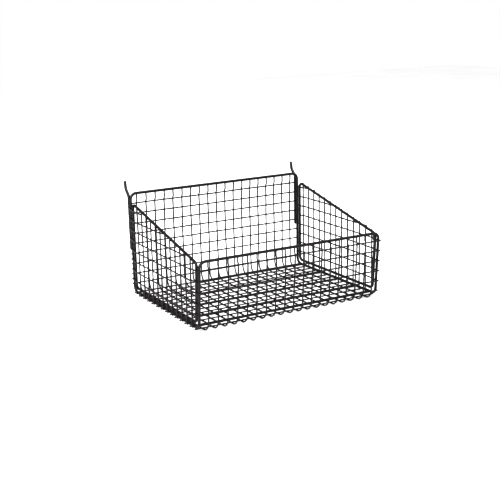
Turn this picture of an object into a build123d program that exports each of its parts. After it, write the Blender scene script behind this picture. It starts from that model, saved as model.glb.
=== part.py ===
"""Open wire basket that hangs on a pegboard by two hooks, in millimetres.

+Y points to the board, +X to the right seen from the front, +Z up. The basket is worked out with
the axis of its floor rail at z = 0 and the foot of its front posts at y = 0, and is moved at the
end: the middle of its footprint goes to x = 0, y = 0 and its lowest wires rest on z = 0.
"""
from build123d import *
import os
from math import hypot, radians, tan

# ---------------------------------------------------------------- driving sizes
hook_spacing = 254.0        # hook to hook, and post to post: ten pegboard holes of 25.4
basket_depth = 184.0        # back post to front post, along the floor
back_height = 130.0         # floor rail to back top bar
front_height = 81.0         # floor rail to front top bar
front_lean = 5.5            # how far the front top bar stands out past the foot of its posts

rim_wire = 3.5              # wire diameters
side_wire = 3.5
mesh_wire = 1.75
hook_wire = 3.6

rim_bend = 8.0              # bend radii, to the wire's axis
side_bend = 6.0
hook_bend = 5.0
set_bend = 2.0              # where a mesh wire is set down onto a thick one

wire_pitch = 13.0           # between lengthwise wires
cross_pitch = 13.35         # between cross wires, and both ways on the sides
first_cross_gap = 13.4      # back top bar to the first cross wire, along the mesh
last_cross_gap = 8.5        # least distance from the last cross wire to the front top bar
edge_gap = 8.0              # least distance from a post to the outermost lengthwise wire
upright_gap = 10.5          # least distance from a post to the nearest upright
cross_overhang = 0.6        # a cross wire's end, past the outer side of the posts
tip_overhang = 1.2          # a lengthwise wire's end, past the axis of a top bar
upright_tip = 0.4           # an upright's end, short of the outer side of the wire it crosses
level_tip = 0.2             # a level wire's end, short of the outer side of the post

side_inset = 6.5            # side frame's upright wires, from the posts
side_lift = 6.0             # side frame's bottom wire, above the floor rail
side_back_height = 118.0    # side frame's upper corners, above the floor rail
side_front_height = 78.5
first_level = 16.9          # lowest level wire of a side, above the floor rail
level_headroom = 6.0        # least drop from the side frame's back corner to a level wire

hook_foot = 56.0            # hook leg's lower end, above the floor rail
hook_knee = 126.0           # where the hook leaves its leg, above the floor rail
hook_reach = 8.5            # from the leg back to the upturned tip
hook_rise = 8.0             # how much the hook climbs in that reach
hook_tip = 10.5             # height of the upturned tip
hook_tip_lean = 2.2         # how far the tip leans back
hook_end_round = 1.0        # rounding of the hook's ends

set_angle = 30.0            # slope of a mesh wire where it is set down, in degrees

# ---------------------------------------------------------------- worked out from them
post_x = hook_spacing / 2
rim_r = rim_wire / 2
mesh_r = mesh_wire / 2
cross_offset = rim_r + mesh_r                     # cross wires touch the outside of the rim
length_offset = cross_offset + mesh_wire          # lengthwise wires touch the outside of those
hook_offset = rim_r + mesh_wire + hook_wire / 2   # hook legs touch the ends of the cross wires
set_run = mesh_wire / tan(radians(set_angle))
set_turn = set_bend * tan(radians(set_angle / 2))  # what each bend takes from its runs
set_start = 0.5 * mesh_wire                       # a wire set down clears the one it just crossed

front_length = hypot(front_lean, front_height)
up_y, up_z = -front_lean / front_length, front_height / front_length    # up the front
out_y, out_z = -up_z, up_y                                              # out of the front

parts = {}


def front_y(height, inset=0.0):
    """y of the front posts' axis at a height, or of a line set back from it."""
    return -front_lean * height / front_height + inset


def rod(start, end, diameter):
    """A straight wire between two points."""
    axis = Edge.make_line(start, end)
    return sweep(Plane(origin=axis @ 0, z_dir=axis % 0) * Circle(diameter / 2), path=axis)


def bent_wire(points, radii, diameter, closed=False):
    """A wire bent along straight runs, with one radius, or one for each corner."""
    axis = FilletPolyline(*points, radius=radii, close=closed)
    return sweep(Plane(origin=axis @ 0, z_dir=axis % 0) * Circle(diameter / 2), path=axis)


def on_front(along, offset):
    """(y, z) at a distance up the front and a distance outside the front posts' axis."""
    return up_y * along + out_y * offset, up_z * along + out_z * offset


def foot_of_front(offset):
    """Distance up the front, below zero, where a wire outside the rim meets the floor's run."""
    return -(offset + out_z * offset) / up_z


# ---------------------------------------------------------------- rim: one wire, butt welded
def make_rim():
    """Back bar, back posts, floor rails, front posts and front bar, in one loop."""
    front_top = on_front(front_length, 0)
    corners = []
    for x, forward in ((-post_x, True), (post_x, False)):
        side = [
            (x, basket_depth, back_height),
            (x, basket_depth, 0),
            (x, 0, 0),
            (x, *front_top),
        ]
        corners += side if forward else side[::-1]
    return bent_wire(corners, rim_bend, rim_wire, closed=True)


parts["rim_frame"] = make_rim()


# ---------------------------------------------------------------- side frames
side_back_y = basket_depth - side_inset
side_front_y = front_y(side_front_height, side_inset)
side_slope = (side_back_height - side_front_height) / (side_back_y - side_front_y)


def side_top(y):
    """Height of the side frame's sloping wire at a distance from the front posts' foot."""
    return side_front_height + side_slope * (y - side_front_y)


def side_end_y(z):
    """Where a level wire meets the side frame: its sloping wire or, lower down, its front one."""
    on_slope = side_front_y + (z - side_front_height) / side_slope
    return max(on_slope, front_y(z, side_inset))


def make_side_frame(x):
    """A closed frame with a sloping top, its outline parallel to the posts and the floor rail."""
    corners = [
        (x, side_back_y, side_lift),
        (x, side_back_y, side_back_height),
        (x, side_front_y, side_front_height),
        (x, front_y(side_lift, side_inset), side_lift),
    ]
    return bent_wire(corners, side_bend, side_wire, closed=True)


side_frame_x = post_x + rim_r - side_wire / 2        # outer sides in line with the posts'
parts["left_side_frame"] = make_side_frame(-side_frame_x)
parts["right_side_frame"] = make_side_frame(side_frame_x)


# ---------------------------------------------------------------- cross wires
cross_path = FilletPolyline(
    (0, basket_depth + cross_offset, back_height),
    (0, basket_depth + cross_offset, -cross_offset),
    (0, *on_front(foot_of_front(cross_offset), cross_offset)),
    (0, *on_front(front_length, cross_offset)),
    radius=rim_bend + cross_offset,
)
cross_room = cross_path.length - first_cross_gap - last_cross_gap
cross_count = int(cross_room / cross_pitch) + 1
cross_reach = post_x + rim_r + cross_overhang

cross_places = []
for number in range(cross_count):
    travel = first_cross_gap + number * cross_pitch
    cross_places.append(cross_path.position_at(travel, position_mode=PositionMode.LENGTH))

back_cross = [place for place in cross_places if place.Z > rim_bend and place.Y > basket_depth / 2]
front_cross = [place for place in cross_places if place.Y < out_y * cross_offset + rim_r]
floor_cross = cross_places[len(back_cross):cross_count - len(front_cross)]

for panel, places in (("back", back_cross), ("floor", floor_cross), ("front", front_cross)):
    for number, place in enumerate(places, 1):
        wire = rod((-cross_reach, place.Y, place.Z), (cross_reach, place.Y, place.Z), mesh_wire)
        parts[f"{panel}_cross_wire_{number:02d}"] = wire

# ---------------------------------------------------------------- lengthwise wires
last_cross_travel = first_cross_gap + (cross_count - 1) * cross_pitch
front_tail = cross_path.length - last_cross_travel     # last cross wire to the front top bar


def make_lengthwise_wire(x):
    """Down the back, along the floor and up the front, its ends set down onto the top bars."""
    back_in, back_out = basket_depth + cross_offset, basket_depth + length_offset
    back_set = back_height - first_cross_gap + set_start
    front_set = front_length - front_tail + set_start
    points = [
        (x, back_in, back_height + tip_overhang),
        (x, back_in, back_set + set_run),
        (x, back_out, back_set),
        (x, back_out, -length_offset),
        (x, *on_front(foot_of_front(length_offset), length_offset)),
        (x, *on_front(front_set, length_offset)),
        (x, *on_front(front_set + set_run, cross_offset)),
        (x, *on_front(front_length + tip_overhang, cross_offset)),
    ]
    mesh_bend = rim_bend + length_offset
    radii = [set_bend, set_bend, mesh_bend, mesh_bend, set_bend, set_bend]
    return bent_wire(points, radii, mesh_wire)


half_count = int((post_x - edge_gap) / wire_pitch)
for number, place in enumerate(range(-half_count, half_count + 1), 1):
    parts[f"lengthwise_wire_{number:02d}"] = make_lengthwise_wire(place * wire_pitch)

# ---------------------------------------------------------------- side panels' mesh
upright_count = int((basket_depth - 2 * upright_gap) / cross_pitch) + 1
upright_span = (upright_count - 1) * cross_pitch
first_upright = (basket_depth - upright_span) / 2
upright_places = [first_upright + number * cross_pitch for number in range(upright_count)]
level_count = int((side_back_height - level_headroom - first_level) / cross_pitch) + 1
level_places = [first_level + number * cross_pitch for number in range(level_count)]


def make_uprights(side):
    """Upright wires on the outside of the floor rail and of the side frame."""
    x = side * (post_x + cross_offset)
    above_axis = side_wire / 2 * hypot(1, side_slope) - upright_tip
    wires = []
    for y in upright_places:
        wires.append(rod((x, y, upright_tip - rim_r), (x, y, side_top(y) + above_axis), mesh_wire))
    return Compound(children=wires)


def make_level_wires(side):
    """Level wires over the uprights, their ends set down onto the side frame and the posts."""
    x_in = side * (post_x + cross_offset)
    x_out = side * (post_x + length_offset)
    highest_on_post = min(front_height - rim_bend, side_front_height - side_wire)
    wires = []
    for z in level_places:
        end = front_y(z) - rim_r + level_tip if z < highest_on_post else side_end_y(z)
        last_upright = min(y for y in upright_places if y > end)
        points = [
            (x_in, basket_depth + rim_r - level_tip, z),
            (x_in, upright_places[-1] + set_start + set_run, z),
            (x_out, upright_places[-1] + set_start, z),
            (x_out, last_upright - set_start, z),
        ]
        if last_upright - set_start - set_run - set_turn > end:
            points += [(x_in, last_upright - set_start - set_run, z), (x_in, end, z)]
        wires.append(bent_wire(points, set_bend, mesh_wire))
    return Compound(children=wires)


for name, side in (("left", -1), ("right", 1)):
    parts[f"{name}_side_uprights"] = make_uprights(side)
    parts[f"{name}_side_level_wires"] = make_level_wires(side)


# ---------------------------------------------------------------- hooks
def make_hook(x):
    """A leg behind the back post, bent back and up into a tip that goes through the board."""
    leg_y = basket_depth + hook_offset
    tip_y = leg_y + hook_reach
    tip_z = hook_knee + hook_rise
    points = [
        (x, leg_y, hook_foot),
        (x, leg_y, hook_knee),
        (x, tip_y, tip_z),
        (x, tip_y + hook_tip_lean, tip_z + hook_tip),
    ]
    hook = bent_wire(points, hook_bend, hook_wire)
    ends = hook.faces().filter_by(GeomType.PLANE).edges()
    return fillet(ends, hook_end_round)


parts["left_hook"] = make_hook(-post_x)
parts["right_hook"] = make_hook(post_x)

# ---------------------------------------------------------------- export
boxes = [solid.bounding_box() for solid in parts.values()]
middle_y = (min(box.min.Y for box in boxes) + max(box.max.Y for box in boxes)) / 2
lowest_z = min(box.min.Z for box in boxes)
to_row_frame = Pos(0, -middle_y, -lowest_z)

os.makedirs("parts", exist_ok=True)
for name, solid in parts.items():
    export_step(to_row_frame * solid, f"parts/{name}.step")
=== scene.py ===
# %% [markdown]
# # A wire basket that hangs on a pegboard
#
# The real object is a basket of welded steel wire, coated with black powder. A thick wire bent into
# a closed loop is its rim, one thick wire frame stiffens each side, thin wires cross each other as
# the mesh, and two hooks stand behind the back posts. The wires have hardly any surface of their
# own, so what tells the eye that they are real is how they bend, how they are set down on each
# other, the small weld at each crossing, and how the coat catches the light.
#
# The CAD model of the basket is loaded first, and nothing here moves it. Each wire is then made
# again as a finer surface along the same line, and takes the place of the CAD one.

# %% Load the CAD model
import math

import bpy
import numpy as np
from mathutils import Matrix, Vector
from mathutils.geometry import convex_hull_2d


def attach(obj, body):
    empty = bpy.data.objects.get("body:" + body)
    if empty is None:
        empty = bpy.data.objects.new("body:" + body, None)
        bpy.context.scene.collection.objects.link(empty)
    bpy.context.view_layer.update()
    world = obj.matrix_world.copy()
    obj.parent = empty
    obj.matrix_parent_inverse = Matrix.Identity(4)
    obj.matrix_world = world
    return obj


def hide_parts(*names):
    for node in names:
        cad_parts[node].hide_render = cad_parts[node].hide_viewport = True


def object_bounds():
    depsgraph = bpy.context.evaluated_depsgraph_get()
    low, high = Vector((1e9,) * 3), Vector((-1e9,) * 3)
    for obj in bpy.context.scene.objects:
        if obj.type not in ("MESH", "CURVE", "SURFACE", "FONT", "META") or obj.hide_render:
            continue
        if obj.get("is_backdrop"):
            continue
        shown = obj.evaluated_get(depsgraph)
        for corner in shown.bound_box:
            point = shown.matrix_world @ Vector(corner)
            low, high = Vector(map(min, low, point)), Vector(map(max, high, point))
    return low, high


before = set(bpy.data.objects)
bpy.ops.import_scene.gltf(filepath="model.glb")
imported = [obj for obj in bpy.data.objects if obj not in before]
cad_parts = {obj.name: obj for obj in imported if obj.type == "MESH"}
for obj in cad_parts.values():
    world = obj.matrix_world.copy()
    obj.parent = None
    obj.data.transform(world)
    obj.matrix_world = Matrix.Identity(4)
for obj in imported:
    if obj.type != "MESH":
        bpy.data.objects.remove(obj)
cad_low, cad_high = (np.array(corner, float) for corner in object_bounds())
print("CAD box, mm:", np.round((cad_high - cad_low) * 1000, 1))

# %% [markdown]
# ## One wire, as a surface
#
# A wire is a circle carried along a line. Its line could be a Blender curve with a round bevel, but
# then every wire is a perfect pipe. Here the circle is carried along by numpy, so each ring can have
# its own radius: a drawn and powder-coated wire is a little thicker and thinner along its length,
# and its cut end is a soft dome, because powder builds up round an edge.

# %% Frames along a line
MM = 0.001


def unit(vectors):
    """Each vector divided by its length."""
    return vectors / np.linalg.norm(vectors, axis=-1, keepdims=True)


def arc_length(line):
    """Distance travelled to each point: the running sum of the distances between neighbours."""
    steps = np.linalg.norm(np.diff(line, axis=0), axis=1)
    return np.concatenate([[0.0], np.cumsum(steps)])


def directions(line, closed):
    """At each point, the mean of the directions of the two runs that meet there."""
    if closed:
        return unit(unit(np.roll(line, -1, 0) - line) + unit(line - np.roll(line, 1, 0)))
    runs = unit(np.diff(line, axis=0))
    return unit(np.concatenate([runs[:1], runs]) + np.concatenate([runs, runs[-1:]]))


# %% [markdown]
# The circle needs two directions across the line that don't twist. Each ring's are the ring
# before's, brought square to the new direction, so they turn no more than the line does.

# %% Carry a ring along without twist
def across(along):
    """Two unit vectors square to each direction, each carried over from the one before it.

    The carried vector v loses its part along the new direction t: v minus (v dot t) times t,
    brought back to length one. The second is the cross product of t and v.
    """
    first = np.cross(along[0], (0.31, 0.53, 0.79))
    carried = np.empty_like(along)
    last = first / np.linalg.norm(first)
    for index, direction in enumerate(along):
        last = last - last.dot(direction) * direction
        last = last / np.linalg.norm(last)
        carried[index] = last
    return carried, np.cross(along, carried)


# %% [markdown]
# A closed loop, such as the rim, ends on the ring it started with, but the carried directions may
# come back turned by some angle. That angle is shared out over the rings.

# %% A wire's surface
DOME = 0.55          # height of a cut end's dome, as a share of the wire's radius


def dome(end, outwards, ring, radius):
    """Two rings of a flattened half ball: radius times cosine, and height times sine, of 30 and 60."""
    tilt = np.radians([30.0, 60.0])
    out = np.sin(tilt)[:, None, None] * outwards * radius * DOME
    return end + out + np.cos(tilt)[:, None, None] * ring * radius


def wire_surface(line, radii, sides, closed=False):
    """Vertices and faces of a wire.

    Ring i is: point i, plus radius i times (cosine of a times first across + sine of a times
    second across), for a going round in equal steps. An open wire is shortened by a dome's height
    at each end, and gets that dome: two more rings and one point at the pole.
    """
    along = directions(line, closed)
    if not closed:
        line = line.copy()
        line[0] += along[0] * radii[0] * DOME
        line[-1] -= along[-1] * radii[-1] * DOME
    first, second = across(along)
    turn = np.zeros(len(line))
    if closed:
        over = math.atan2(first[-1].dot(second[0]), first[-1].dot(first[0]))
        turn = -over * arc_length(line) / arc_length(line)[-1]
    angles = np.arange(sides) * 2 * np.pi / sides + turn[:, None]
    ring = np.cos(angles)[..., None] * first[:, None] + np.sin(angles)[..., None] * second[:, None]
    rings = line[:, None] + radii[:, None, None] * ring
    if not closed:
        rings = np.concatenate([
            dome(line[0], -along[0], ring[0], radii[0])[::-1],
            rings,
            dome(line[-1], along[-1], ring[-1], radii[-1]),
        ])
    count = len(rings)
    index = np.arange(count * sides).reshape(count, sides)
    below = index if closed else index[:-1]
    above = np.roll(index, -1, 0) if closed else index[1:]
    quads = np.stack([below, np.roll(below, -1, 1), np.roll(above, -1, 1), above], -1).reshape(-1, 4)
    vertices = rings.reshape(-1, 3)
    if closed:
        return vertices, quads, np.empty((0, 3), int)
    poles = np.array([line[0] - along[0] * radii[0] * DOME, line[-1] + along[-1] * radii[-1] * DOME])
    start, end = len(vertices), len(vertices) + 1
    low_cap = np.stack([np.roll(index[0], -1), index[0], np.full(sides, start)], -1)
    high_cap = np.stack([index[-1], np.roll(index[-1], -1), np.full(sides, end)], -1)
    return np.concatenate([vertices, poles]), quads, np.concatenate([low_cap, high_cap])


# %% [markdown]
# ## A bent line
#
# Wire is bent round a pin, so a bend is an arc between two straight runs. The line is given by its
# corners and their radii, and points are laid on it: a few on each arc, and one every few
# millimetres on a straight, so that there is something to make a little uneven.

# %% Straight runs and arcs
STRAIGHT_STEP = 5.0 * MM
ARC_STEP = math.radians(11.0)


def arc_points(before, corner, after, radius):
    """Points of the arc that touches both runs at a corner.

    Its ends lie radius times tan(half the turn) from the corner. Its points are the centre plus
    radius times (cosine of a times the way from centre to start + sine of a times the start's
    direction), for a from zero to the turn.
    """
    run_in, run_out = unit(corner - before), unit(after - corner)
    turn = math.acos(float(np.clip(run_in.dot(run_out), -1, 1)))
    start = corner - run_in * radius * math.tan(turn / 2)
    inwards = unit(run_out - run_in * run_in.dot(run_out))
    centre = start + inwards * radius
    a = np.linspace(0, turn, max(3, math.ceil(turn / ARC_STEP) + 1))[:, None]
    return centre - np.cos(a) * radius * inwards + np.sin(a) * radius * run_in


def bent_line(corners, radii, closed=False):
    """Points along straight runs joined by arcs."""
    corners = np.array(corners, float)
    count = len(corners)
    radii = np.broadcast_to(radii, count if closed else count - 2)
    pieces = [] if closed else [corners[:1]]
    for number in range(count if closed else count - 2):
        spot = number if closed else number + 1
        neighbours = corners[spot - 1], corners[spot], corners[(spot + 1) % count]
        pieces.append(arc_points(*neighbours, radii[number]))
    pieces.append(pieces[0][:1] if closed else corners[-1:])
    line = [pieces[0]]
    for piece in pieces[1:]:
        gap = np.linalg.norm(piece[0] - line[-1][-1])
        share = np.linspace(0, 1, math.ceil(gap / STRAIGHT_STEP) + 1)[1:-1, None]
        line += [line[-1][-1] * (1 - share) + piece[0] * share, piece]
    points = np.concatenate(line)
    return points[:-1] if closed else points


# %% [markdown]
# ## Wires that aren't quite straight
#
# Mesh wire comes off a coil and is straightened by rollers, and the welder then pins it down at
# each crossing. What is left is a slow wander of a few tenths of a millimetre. It is a sum of three
# sine waves of random phase, and the same seed gives the same basket each time.

# %% Wander and thickness
dice = np.random.default_rng(41)
COAT_VARIATION = 0.018      # share of the radius
COAT_WAVE = 37 * MM


def wander(travel, size, longest):
    """Sum of three sines of the distance travelled, of wavelengths longest, half and a fifth."""
    shares = np.array([0.6, 0.3, 0.1])
    lengths = longest / np.array([1.0, 2.1, 5.3])
    phases = dice.uniform(0, 2 * np.pi, 3)
    return size * np.sum(shares * np.sin(2 * np.pi * travel[:, None] / lengths + phases), axis=1)


def uneven_radii(line, radius):
    """The wire's radius, up or down by the coat's variation along its length, as the coat builds up."""
    return radius * (1 + wander(arc_length(line), COAT_VARIATION, COAT_WAVE))


# %% [markdown]
# ## Turning surfaces into objects
#
# One object holds each piece. Its vertices are in place already, so the object itself stays at the
# origin. Several wires of one kind are joined by adding up the vertices that came before.

# %% Make an object
made = []


def put(name, surfaces, material):
    """One object from a list of (vertices, quads, triangles), moved into one list of vertices."""
    starts = np.cumsum([0] + [len(v) for v, _, _ in surfaces])[:-1]
    vertices = np.concatenate([v for v, _, _ in surfaces])
    quads = np.concatenate([q + s for (_, q, _), s in zip(surfaces, starts)])
    triangles = np.concatenate([t + s for (_, _, t), s in zip(surfaces, starts)])
    mesh = bpy.data.meshes.new(name)
    mesh.from_pydata(vertices.tolist(), [], quads.tolist() + triangles.tolist())
    mesh.shade_smooth()
    mesh.materials.append(material)
    piece = bpy.data.objects.new(name, mesh)
    bpy.context.scene.collection.objects.link(piece)
    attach(piece, "root")
    made.append((name, len(quads) * 2 + len(triangles)))
    return piece


# %% [markdown]
# ## The finish: black powder coat
#
# The wire is phosphated steel, sprayed with dry polyester powder and baked. The powder melts into a
# satin skin about 0.08 mm thick: black with a trace of brown and violet, and slightly rippled, which
# painters call orange peel. Its ripples are about 0.6 mm across. The coat isn't equally thick
# everywhere, so its shade and its gloss drift slowly along a wire.

# %% Colours and nodes
def colour(text):
    """sRGB hex to linear: c / 12.92 below 0.04045, and ((c + 0.055) / 1.055) ** 2.4 above."""
    channels = np.array([int(text[i:i + 2], 16) for i in (0, 2, 4)]) / 255
    linear = np.where(channels <= 0.04045, channels / 12.92, ((channels + 0.055) / 1.055) ** 2.4)
    return (*linear.tolist(), 1.0)


def add(tree, kind, settings=None, inputs=None):
    """Add a node, set its settings, and give each named input a value or a link."""
    node = tree.nodes.new(kind)
    for key, value in (settings or {}).items():
        setattr(node, key, value)
    for key, value in (inputs or {}).items():
        if isinstance(value, bpy.types.NodeSocket):
            tree.links.new(value, node.inputs[key])
        else:
            node.inputs[key].default_value = value
    return node


# %% The powder coat
PEEL_WIDTH = 0.6 * MM       # ripples of the baked powder
CLOUD_WIDTH = 9.0 * MM      # slow changes of shade and gloss along a wire
PEEL_DEPTH = 0.04 * MM
DULL, GLOSSY = 0.42, 0.27   # roughness where the coat is thin, and where it has flowed out well
POLYESTER_IOR = 1.5
POLYESTER_SPECULAR = 0.4    # a little under the usual 0.5: satin powder holds a matting agent


def ramp(tree, value, stops):
    """A colour ramp on a value, from (place, colour) pairs."""
    node = add(tree, "ShaderNodeValToRGB", inputs={"Fac": value})
    node.color_ramp.elements[0].position, node.color_ramp.elements[0].color = stops[0]
    node.color_ramp.elements[1].position, node.color_ramp.elements[1].color = stops[-1]
    for place, shade in stops[1:-1]:
        node.color_ramp.elements.new(place).color = shade
    return node


def make_powder_coat():
    """Satin black polyester powder on steel wire."""
    material = bpy.data.materials.new("satin_black_powder_coat")
    material.use_nodes = True
    tree = material.node_tree
    shader = tree.nodes["Principled BSDF"]
    place = add(tree, "ShaderNodeTexCoord").outputs["Object"]
    clouds = add(tree, "ShaderNodeTexNoise", inputs={
        "Vector": place, "Scale": 1 / CLOUD_WIDTH, "Detail": 3.0, "Roughness": 0.55})
    peel = add(tree, "ShaderNodeTexNoise", inputs={
        "Vector": place, "Scale": 1 / PEEL_WIDTH, "Detail": 2.0, "Roughness": 0.5})
    tint = ramp(tree, clouds.outputs["Fac"], [
        (0.32, colour("120f11")), (0.52, colour("191516")), (0.72, colour("221c1f"))])
    gloss = add(tree, "ShaderNodeMapRange", inputs={
        "Value": clouds.outputs["Fac"], "From Min": 0.3, "From Max": 0.7, "To Min": DULL, "To Max": GLOSSY})
    ripple = add(tree, "ShaderNodeBump", inputs={
        "Height": peel.outputs["Fac"], "Strength": 0.35, "Distance": PEEL_DEPTH})
    tree.links.new(tint.outputs["Color"], shader.inputs["Base Color"])
    tree.links.new(gloss.outputs["Result"], shader.inputs["Roughness"])
    tree.links.new(ripple.outputs["Normal"], shader.inputs["Normal"])
    shader.inputs["IOR"].default_value = POLYESTER_IOR
    shader.inputs["Specular IOR Level"].default_value = POLYESTER_SPECULAR
    return material


powder_coat = make_powder_coat()

# %% [markdown]
# ## Where the wires are
#
# The wires' places are read from the CAD model. A straight wire is known from its box. A node that
# holds several parallel wires is split by sorting its vertices along one direction, and cutting
# where there is a gap. What a box can't tell is a named value: bend radii and the hooks' slants.

# %% Read the CAD model
CAD_X, CAD_Y, CAD_Z = 0, 1, 2


def vertices_of(node):
    """All vertices of a CAD node, as an array."""
    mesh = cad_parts[node].data
    values = np.empty(len(mesh.vertices) * 3, np.float32)
    mesh.vertices.foreach_get("co", values)
    return values.reshape(-1, 3).astype(float)


def box_of(points):
    """(lowest, highest) corner of an array of points."""
    return points.min(0), points.max(0)


def split(points, axis, gap):
    """Groups of points, cut where the sorted coordinate jumps by more than gap."""
    order = points[points[:, axis].argsort()]
    cuts = np.nonzero(np.diff(order[:, axis]) > gap)[0] + 1
    return np.split(order, cuts)


def nodes_like(start):
    """Names of the CAD nodes that begin with these words, in order."""
    return sorted(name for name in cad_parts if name.startswith(start))


rim_low, rim_high = box_of(vertices_of("rim_frame"))
side_low, side_high = box_of(vertices_of("right_side_frame"))
rim_radius = (side_high[CAD_X] - side_low[CAD_X]) / 2
post_x = rim_high[CAD_X] - rim_radius
print("posts at", round(post_x * 1000, 2), "mm, wire radius", round(rim_radius * 1000, 2), "mm")

# %% [markdown]
# ## The rim
#
# One thick wire, bent into a loop and butt welded: back bar, two back posts, two floor rails, two
# front posts and front bar. From the side it is a U whose front leg leans outwards. That lean is
# read off the CAD posts with a straight line fitted through their vertices.

# %% Read the rim's own lines
RIM_BEND = 8.0 * MM

rim_points = vertices_of("rim_frame")
floor_z = rim_low[CAD_Z] + rim_radius
back_y = rim_high[CAD_Y] - rim_radius
back_top_z = rim_high[CAD_Z] - rim_radius
front_points = rim_points[rim_points[:, CAD_Y] < (rim_low[CAD_Y] + rim_high[CAD_Y]) / 2]
front_top_z = front_points[:, CAD_Z].max() - rim_radius

bend_ends = 0.9 * RIM_BEND          # the posts' straight part begins and ends a little past this
post_part = front_points[
    (front_points[:, CAD_Z] > floor_z + bend_ends)
    & (front_points[:, CAD_Z] < front_top_z - bend_ends)
    & (abs(front_points[:, CAD_X]) > post_x)
]
front_line = np.polyfit(post_part[:, CAD_Z], post_part[:, CAD_Y], 1)
foot = np.array([0.0, np.polyval(front_line, floor_z), floor_z])
up_front = unit(np.array([0.0, front_line[0], 1.0]))
out_front = np.array([0.0, -up_front[2], up_front[1]])
front_length = (front_top_z - floor_z) / up_front[2]
print("front posts lean", round(math.degrees(math.atan(-front_line[0])), 2), "degrees outwards")


def on_front(x, along, offset):
    """The foot of the front, plus a distance up the front, plus a distance out of it."""
    return foot + up_front * along + out_front * offset + (x, 0, 0)


# %% Make the rim
def rim_side(x):
    """Corners of one side of the rim, from the back bar to the front bar."""
    return [(x, back_y, back_top_z), (x, back_y, floor_z), (x, foot[1], floor_z),
            tuple(on_front(x, front_length, 0))]


lines = {}
lines["rim_frame"] = [bent_line(rim_side(-post_x) + rim_side(post_x)[::-1], RIM_BEND, closed=True)]
rim_line = lines["rim_frame"][0]
print("rim: one wire of", round(arc_length(rim_line)[-1] * 1000), "mm, in", len(rim_line), "rings")

# %% [markdown]
# ## The side frames
#
# Each side is stiffened by a closed frame with a sloping top. Its corners are not in any box, so
# they are found from its outline: the four longest edges of the outline's hull are the outer sides
# of its straight runs. Moved in by the wire's radius they are its lines, and they meet at its corners.

# %% Corners from an outline
SIDE_BEND = 6.0 * MM


def outline_corners(node, radius):
    """Where neighbouring lines p + s d and q + t e meet: s = cross(q - p, e) / cross(d, e)."""
    points = np.unique(np.round(vertices_of(node)[:, 1:], 6), axis=0)
    hull = points[convex_hull_2d(points.tolist())]
    edges = np.roll(hull, -1, 0) - hull
    longest = np.sort(np.argsort(np.linalg.norm(edges, axis=1))[-4:])
    ways = unit(edges[longest])
    inwards = np.stack([-ways[:, 1], ways[:, 0]], 1)
    facing = np.sign(np.sum((hull.mean(0) - hull[longest]) * inwards, axis=1, keepdims=True))
    starts = hull[longest] + facing * inwards * radius
    gap = np.roll(starts, -1, 0) - starts
    beside = np.roll(ways, -1, 0)
    share = (gap[:, 0] * beside[:, 1] - gap[:, 1] * beside[:, 0]) / (
        ways[:, 0] * beside[:, 1] - ways[:, 1] * beside[:, 0])
    return starts + share[:, None] * ways


for side_name, side in (("left", -1), ("right", 1)):
    corners = outline_corners(f"{side_name}_side_frame", rim_radius)
    flat = [(side * post_x, y, z) for y, z in corners]
    lines[f"{side_name}_side_frame"] = [bent_line(flat, SIDE_BEND, closed=True)]
print("side frame corners, mm:", np.round(corners * 1000, 1).tolist())

# %% [markdown]
# ## The mesh
#
# Cross wires run from side to side, and lie on the outside of the rim. Each lengthwise wire lies on
# the outside of those: down the back, along the floor and up the front, in one piece. Past the last
# cross wire at each end there is nothing under it, so the welder presses it down onto the top bar.

# %% Cross wires
length_low, length_high = box_of(vertices_of("lengthwise_wire_01"))
mesh_radius = (length_high[CAD_X] - length_low[CAD_X]) / 2
CROSS_WANDER = 0.22 * MM
LENGTH_WANDER = 0.30 * MM
SIDE_WANDER = 0.25 * MM
LONGEST_WANDER = 140 * MM   # the slowest wave a straightened wire keeps


def straight_line(start, end):
    """Points every few millimetres from one end to the other."""
    start, end = np.array(start), np.array(end)
    count = math.ceil(np.linalg.norm(end - start) / STRAIGHT_STEP) + 1
    return start + np.linspace(0, 1, count)[:, None] * (end - start)


def wandering(line, sideways, size):
    """The line, moved sideways by its own slow wander."""
    return line + wander(arc_length(line), size, LONGEST_WANDER)[:, None] * np.array(sideways)


cross_places = {}
for panel, sideways in (("back", (0, 0, 1)), ("floor", (0, 1, 0)), ("front", up_front)):
    for node in nodes_like(f"{panel}_cross_wire"):
        low, high = box_of(vertices_of(node))
        middle = (low + high) / 2
        line = straight_line((low[0], *middle[1:]), (high[0], *middle[1:]))
        lines[node] = [wandering(line, sideways, CROSS_WANDER)]
        cross_places[node] = middle
print(len(cross_places), "cross wires of radius", round(mesh_radius * 1000, 3), "mm")

# %% Lengthwise wires
SET_ANGLE = math.radians(30.0)
SET_BEND = 2.0 * MM

mesh_wire = 2 * mesh_radius
cross_offset = rim_radius + mesh_radius
length_offset = cross_offset + mesh_wire
set_start = 0.5 * mesh_wire
set_run = mesh_wire / math.tan(SET_ANGLE)
highest_back = max(place[CAD_Z] for node, place in cross_places.items() if "back" in node)
highest_front = max(
    (place - foot).dot(up_front) for node, place in cross_places.items() if "front" in node)


def foot_of_front(offset):
    """Distance up the front, below zero, where a wire outside the rim meets the floor's run."""
    return -(offset + out_front[2] * offset) / up_front[2]


def lengthwise_line(x, tip):
    """The U outside the cross wires, with both ends set down on the top bars."""
    back_set = highest_back + set_start
    front_set = highest_front + set_start
    corners = [
        (x, back_y + cross_offset, back_top_z + tip),
        (x, back_y + cross_offset, back_set + set_run),
        (x, back_y + length_offset, back_set),
        (x, back_y + length_offset, floor_z - length_offset),
        tuple(on_front(x, foot_of_front(length_offset), length_offset)),
        tuple(on_front(x, front_set, length_offset)),
        tuple(on_front(x, front_set + set_run, cross_offset)),
        tuple(on_front(x, front_length + tip, cross_offset)),
    ]
    panel_bend = RIM_BEND + length_offset
    return bent_line(corners, [SET_BEND, SET_BEND, panel_bend, panel_bend, SET_BEND, SET_BEND])


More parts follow.
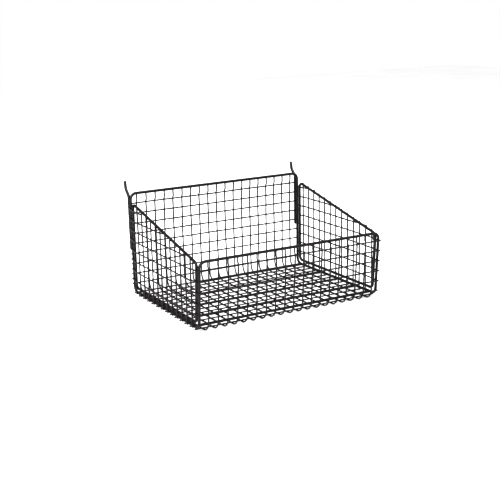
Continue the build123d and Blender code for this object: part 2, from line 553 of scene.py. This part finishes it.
for node in nodes_like("lengthwise_wire"):
    low, high = box_of(vertices_of(node))
    line = lengthwise_line((low[0] + high[0]) / 2, high[CAD_Z] - back_top_z)
    lines[node] = [wandering(line, (1, 0, 0), LENGTH_WANDER)]
print(len(nodes_like("lengthwise_wire")), "lengthwise wires of", round(arc_length(line)[-1] * 1000), "mm")

# %% [markdown]
# The sides have uprights against the floor rail and the side frame, and level wires outside those,
# whose ends are set down onto the side frame and the posts. Those ends lie on the thick wire's
# flank, face the light, and are what shows up as short pale strokes across the dark posts.

# %% The sides' uprights and level wires
WIRE_GAP = 5.0 * MM
set_turn = SET_BEND * math.tan(SET_ANGLE / 2)

for side_name, side in (("left", -1), ("right", 1)):
    node = f"{side_name}_side_uprights"
    lines[node] = []
    upright_places = []
    for group in split(vertices_of(node), CAD_Y, WIRE_GAP):
        low, high = box_of(group)
        x, y = (low[0] + high[0]) / 2, (low[1] + high[1]) / 2
        upright_places.append(y)
        line = straight_line((x, y, low[2]), (x, y, high[2]))
        lines[node].append(wandering(line, (0, 1, 0), SIDE_WANDER))

    x_in, x_out = side * (post_x + cross_offset), side * (post_x + length_offset)
    node = f"{side_name}_side_level_wires"
    lines[node] = []
    for group in split(vertices_of(node), CAD_Z, WIRE_GAP):
        low, high = box_of(group)
        z, end = (low[2] + high[2]) / 2, low[1]
        last_upright = min(y for y in upright_places if y > end)
        corners = [
            (x_in, high[1], z),
            (x_in, upright_places[-1] + set_start + set_run, z),
            (x_out, upright_places[-1] + set_start, z),
            (x_out, last_upright - set_start, z),
        ]
        if last_upright - set_start - set_run - set_turn > end:
            corners += [(x_in, last_upright - set_start - set_run, z), (x_in, end, z)]
        lines[node].append(wandering(bent_line(corners, SET_BEND), (0, 0, 1), SIDE_WANDER))
    print(side_name, "side:", len(upright_places), "uprights,", len(lines[node]), "level wires")

# %% [markdown]
# ## The hooks
#
# Each hook is a short thick wire with rounded ends. Its leg stands behind a back post, against the
# ends of the cross wires. At its top it bends back, and then up, so that the tip goes through a hole
# of the board and turns up behind it.

# %% Hook lines
HOOK_BEND = 5.0 * MM
HOOK_KNEE = 70.0 * MM       # from the leg's lower end
HOOK_REACH = 8.5 * MM
HOOK_RISE = 8.0 * MM
HOOK_TIP = 10.5 * MM
HOOK_TIP_LEAN = 2.2 * MM

for node in ("left_hook", "right_hook"):
    low, high = box_of(vertices_of(node))
    hook_radius = (high[0] - low[0]) / 2
    x, y, z = (low[0] + high[0]) / 2, low[1] + hook_radius, low[2]
    tip_y, tip_z = y + HOOK_REACH, z + HOOK_KNEE + HOOK_RISE
    lines[node] = [bent_line([
        (x, y, z), (x, y, z + HOOK_KNEE), (x, tip_y, tip_z), (x, tip_y + HOOK_TIP_LEAN, tip_z + HOOK_TIP),
    ], HOOK_BEND)]

# %% [markdown]
# ## Skin the lines
#
# Thick wires get more sides round than thin ones, because their outline is what shows. The thin ones
# are many, so each has just enough.

# %% Make the wires
THICK_SIDES = 24
THIN_SIDES = 12

radii_of = {"rim_frame": rim_radius, "left_side_frame": rim_radius, "right_side_frame": rim_radius,
            "left_hook": hook_radius, "right_hook": hook_radius}
for node, node_lines in lines.items():
    radius = radii_of.get(node, mesh_radius)
    sides = THICK_SIDES if node in radii_of else THIN_SIDES
    closed = node.endswith("frame")
    surfaces = [wire_surface(line, uneven_radii(line, radius), sides, closed) for line in node_lines]
    piece = put(f"coated_{node}", surfaces, powder_coat)
    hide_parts(node)
print(len(made), "pieces,", sum(count for _, count in made), "triangles")

# %% [markdown]
# ## The welds
#
# Each crossing was squeezed between two electrodes, and the hot steel has flowed into the corners
# between the two wires. The coat rounds that off to a small collar. It is made as a flattened ball
# centred where the wires touch, a little wider than the wires' contact, and half hidden in them.

# %% Find where two wires touch
def nearest_on(line, point):
    """The nearest point of a line to a point, over all its segments a to b.

    It is a + t (b - a), where t is the dot product of point - a and b - a, over the length of
    b - a squared, held between 0 and 1.
    """
    a, run = line[:-1], np.diff(line, axis=0)
    t = np.clip(np.sum((point - a) * run, 1) / np.sum(run * run, 1), 0, 1)[:, None]
    near = a + t * run
    return near[np.argmin(np.sum((near - point) ** 2, axis=1))]


def contact(line_a, line_b, start):
    """Go to and fro between two lines: each step is the nearest point to the last one."""
    point_a = nearest_on(line_a, np.array(start))
    for _ in range(4):
        point_b = nearest_on(line_b, point_a)
        point_a = nearest_on(line_a, point_b)
    return point_a, point_b


# %% Shape of a weld
WELD_SIDES = 8
WELD_TILTS = np.radians([-50.0, -18.0, 18.0, 50.0])
WELD_HEIGHT = 0.75          # of the thinner wire's radius


def weld_surface(point_a, point_b, radius_a, radius_b, spread):
    """A flattened ball between two wires: centre + radius cos(tilt) round it + height sin(tilt)."""
    axis = unit(point_b - point_a)
    centre = point_a + axis * radius_a
    height = WELD_HEIGHT * min(radius_a, radius_b)
    side_a = unit(np.cross(axis, (0.2, 0.5, 0.8)))
    side_b = np.cross(axis, side_a)
    angles = np.arange(WELD_SIDES) * 2 * np.pi / WELD_SIDES
    ring = np.cos(angles)[:, None] * side_a + np.sin(angles)[:, None] * side_b
    wide = spread * np.cos(WELD_TILTS)[:, None, None] * ring
    vertices = centre + wide + (height * np.sin(WELD_TILTS))[:, None, None] * axis
    index = np.arange(len(WELD_TILTS) * WELD_SIDES).reshape(-1, WELD_SIDES)
    quads = np.stack([index[:-1], np.roll(index[:-1], -1, 1), np.roll(index[1:], -1, 1), index[1:]], -1)
    poles = np.array([centre - axis * height, centre + axis * height])
    low, high = index.size, index.size + 1
    caps = np.concatenate([
        np.stack([np.roll(index[0], -1), index[0], np.full(WELD_SIDES, low)], -1),
        np.stack([index[-1], np.roll(index[-1], -1), np.full(WELD_SIDES, high)], -1),
    ])
    return np.concatenate([vertices.reshape(-1, 3), poles]), quads.reshape(-1, 4), caps


# %% Weld every crossing
TOUCH = 0.5 * MM
MESH_WELD = 1.15            # spread of a weld, in radii of mesh wire
TOP_BAR_WELD = 1.25
HOOK_WELD = 1.6
WELD_UNEVEN = (0.92, 1.12)


def welds(pairs, size):
    """Welds for a list of (line a, radius a, line b, radius b, start), where the wires do touch."""
    surfaces = []
    for line_a, radius_a, line_b, radius_b, start in pairs:
        point_a, point_b = contact(line_a, line_b, start)
        if np.linalg.norm(point_b - point_a) < radius_a + radius_b + TOUCH:
            spread = size * mesh_radius * dice.uniform(*WELD_UNEVEN)
            surfaces.append(weld_surface(point_a, point_b, radius_a, radius_b, spread))
    return surfaces


def both_ends(line):
    """The first and the last point of a wire."""
    return line[0], line[-1]


closed_rim = np.concatenate([rim_line, rim_line[:1]])
for panel in ("back", "floor", "front"):
    pairs = []
    for node in nodes_like(f"{panel}_cross_wire"):
        cross = lines[node][0]
        for other in nodes_like("lengthwise_wire"):
            lengthwise = lines[other][0]
            start = (lengthwise[0][0], *cross_places[node][1:])
            pairs.append((cross, mesh_radius, lengthwise, mesh_radius, start))
        pairs += [(cross, mesh_radius, closed_rim, rim_radius, end) for end in both_ends(cross)]
    put(f"{panel}_mesh_welds", welds(pairs, MESH_WELD), powder_coat)

pairs = []
for node in nodes_like("lengthwise_wire"):
    wire = lines[node][0]
    pairs += [(wire, mesh_radius, closed_rim, rim_radius, end) for end in both_ends(wire)]
put("top_bar_welds", welds(pairs, TOP_BAR_WELD), powder_coat)

for side_name in ("left", "right"):
    side_loop = lines[f"{side_name}_side_frame"][0]
    side_loop = np.concatenate([side_loop, side_loop[:1]])
    pairs = []
    for upright in lines[f"{side_name}_side_uprights"]:
        for level in lines[f"{side_name}_side_level_wires"]:
            start = (upright[0][0], upright[0][1], level[0][2])
            pairs.append((upright, mesh_radius, level, mesh_radius, start))
        pairs += [(upright, mesh_radius, closed_rim, rim_radius, upright[0])]
        pairs += [(upright, mesh_radius, side_loop, rim_radius, end) for end in both_ends(upright)]
    for level in lines[f"{side_name}_side_level_wires"]:
        for end in both_ends(level):
            pairs += [(level, mesh_radius, closed_rim, rim_radius, end)]
            pairs += [(level, mesh_radius, side_loop, rim_radius, end)]
    put(f"{side_name}_side_welds", welds(pairs, MESH_WELD), powder_coat)
    hook = lines[f"{side_name}_hook"][0]
    pairs = []
    for node in nodes_like("back_cross_wire"):
        cross = lines[node][0]
        end = min(both_ends(cross), key=lambda place: abs(place[0] - hook[0][0]))
        pairs.append((cross, mesh_radius, hook, hook_radius, end))
    put(f"{side_name}_hook_welds", welds(pairs, HOOK_WELD), powder_coat)
for name, count in made[-7:]:
    print(name, count, "triangles")

# %% [markdown]
# ## The studio
#
# A plain pale floor, a pale world all round, and large soft lights. A round black wire mirrors its
# whole surroundings in a thin stripe, so what matters is where the lights are: one long light high
# at the left front gives the pale stroke along the left flank of the posts and the hooks, and one
# overhead gives the thin line along the top bars. Seen this small, thin black wires between white
# gaps average out too pale, so a display gamma under one deepens them.

# %% Floor and world
FLOOR_HALF = 3.0            # metres
FLOOR_DROP = 0.02 * MM      # the lowest wires' unevenness stays above it
DISPLAY_GAMMA = 0.65


def make_floor():
    """A pale matt board, faintly mottled."""
    material = bpy.data.materials.new("pale_studio_board")
    material.use_nodes = True
    tree = material.node_tree
    shader = tree.nodes["Principled BSDF"]
    place = add(tree, "ShaderNodeTexCoord").outputs["Object"]
    mottle = add(tree, "ShaderNodeTexNoise", inputs={"Vector": place, "Scale": 4.0, "Detail": 2.0})
    shade = ramp(tree, mottle.outputs["Fac"], [(0.3, colour("f6f6f6")), (0.7, colour("fafafa"))])
    tree.links.new(shade.outputs["Color"], shader.inputs["Base Color"])
    shader.inputs["Roughness"].default_value = 0.9
    shader.inputs["Specular IOR Level"].default_value = 0.1
    corners = np.array([(-1, -1), (1, -1), (1, 1), (-1, 1)], float) * FLOOR_HALF
    floor_level = float(cad_low[2]) - FLOOR_DROP
    mesh = bpy.data.meshes.new("studio_floor")
    mesh.from_pydata([(x, y, floor_level) for x, y in corners], [], [(0, 1, 2, 3)])
    mesh.materials.append(material)
    floor = bpy.data.objects.new("studio_floor", mesh)
    bpy.context.scene.collection.objects.link(floor)
    floor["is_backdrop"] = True


make_floor()
world = bpy.data.worlds.new("pale_studio")
world.use_nodes = True
world.node_tree.nodes["Background"].inputs["Color"].default_value = (1, 1, 1, 1)
world.node_tree.nodes["Background"].inputs["Strength"].default_value = 1.0
bpy.context.scene.world = world
bpy.context.scene.view_settings.view_transform = "Standard"
bpy.context.scene.view_settings.gamma = DISPLAY_GAMMA

# %% Lights
middle = (cad_low + cad_high) / 2


def soft_light(name, azimuth, elevation, distance, width, height, power):
    """A rectangular light that faces the middle of the basket, from a compass direction.

    Its place is middle + distance (sin a cos e, cos a cos e, sin e), for azimuth a from +Y.
    """
    a, e = math.radians(azimuth), math.radians(elevation)
    away = np.array([math.sin(a) * math.cos(e), math.cos(a) * math.cos(e), math.sin(e)])
    lamp = bpy.data.lights.new(name, "AREA")
    lamp.shape, lamp.size, lamp.size_y, lamp.energy = "RECTANGLE", width, height, power
    light = bpy.data.objects.new(name, lamp)
    light.location = middle + away * distance
    light.rotation_euler = Vector(away).to_track_quat("Z", "Y").to_euler()
    bpy.context.scene.collection.objects.link(light)


soft_light("left_front_panel", 235, 30, 1.5, 0.5, 1.2, 34)
soft_light("overhead_panel", 180, 80, 1.6, 1.2, 0.7, 26)
soft_light("right_panel", 110, 25, 1.7, 0.5, 1.0, 8)

# %% [markdown]
# ## The camera
#
# A moderate long lens, about 1.3 m away, that looks down a little from the left front. Its place is
# given by what a photographer would read off a tripod: how far round and how far up it stands, how
# far away, and how it is tilted.

# %% Camera
VIEW_ROUND = math.radians(29.775)      # the view turns this far from straight ahead, +Y, to +X
VIEW_DOWN = math.radians(14.419)
VIEW_ROLL = math.radians(-1.2)
VIEW_DISTANCE = 1.27582
LENS = 71.427                          # millimetres, on the standard 36 mm sensor
AIM_FROM_MIDDLE = np.array([-3.271, -2.047, -13.19]) * MM

ahead = np.array([
    math.sin(VIEW_ROUND) * math.cos(VIEW_DOWN),
    math.cos(VIEW_ROUND) * math.cos(VIEW_DOWN),
    -math.sin(VIEW_DOWN),
])
level = np.array([math.cos(VIEW_ROUND), -math.sin(VIEW_ROUND), 0.0])
upright = np.cross(level, ahead)
right = math.cos(VIEW_ROLL) * level + math.sin(VIEW_ROLL) * upright
top = np.cross(right, ahead)
aim = middle + AIM_FROM_MIDDLE
eye = aim - ahead * VIEW_DISTANCE

lens = bpy.data.cameras.new("view")
lens.lens = LENS
camera = bpy.data.objects.new("view", lens)
camera.matrix_world = Matrix((
    (right[0], top[0], -ahead[0], eye[0]),
    (right[1], top[1], -ahead[1], eye[1]),
    (right[2], top[2], -ahead[2], eye[2]),
    (0, 0, 0, 1),
))
bpy.context.scene.collection.objects.link(camera)
bpy.context.scene.camera = camera
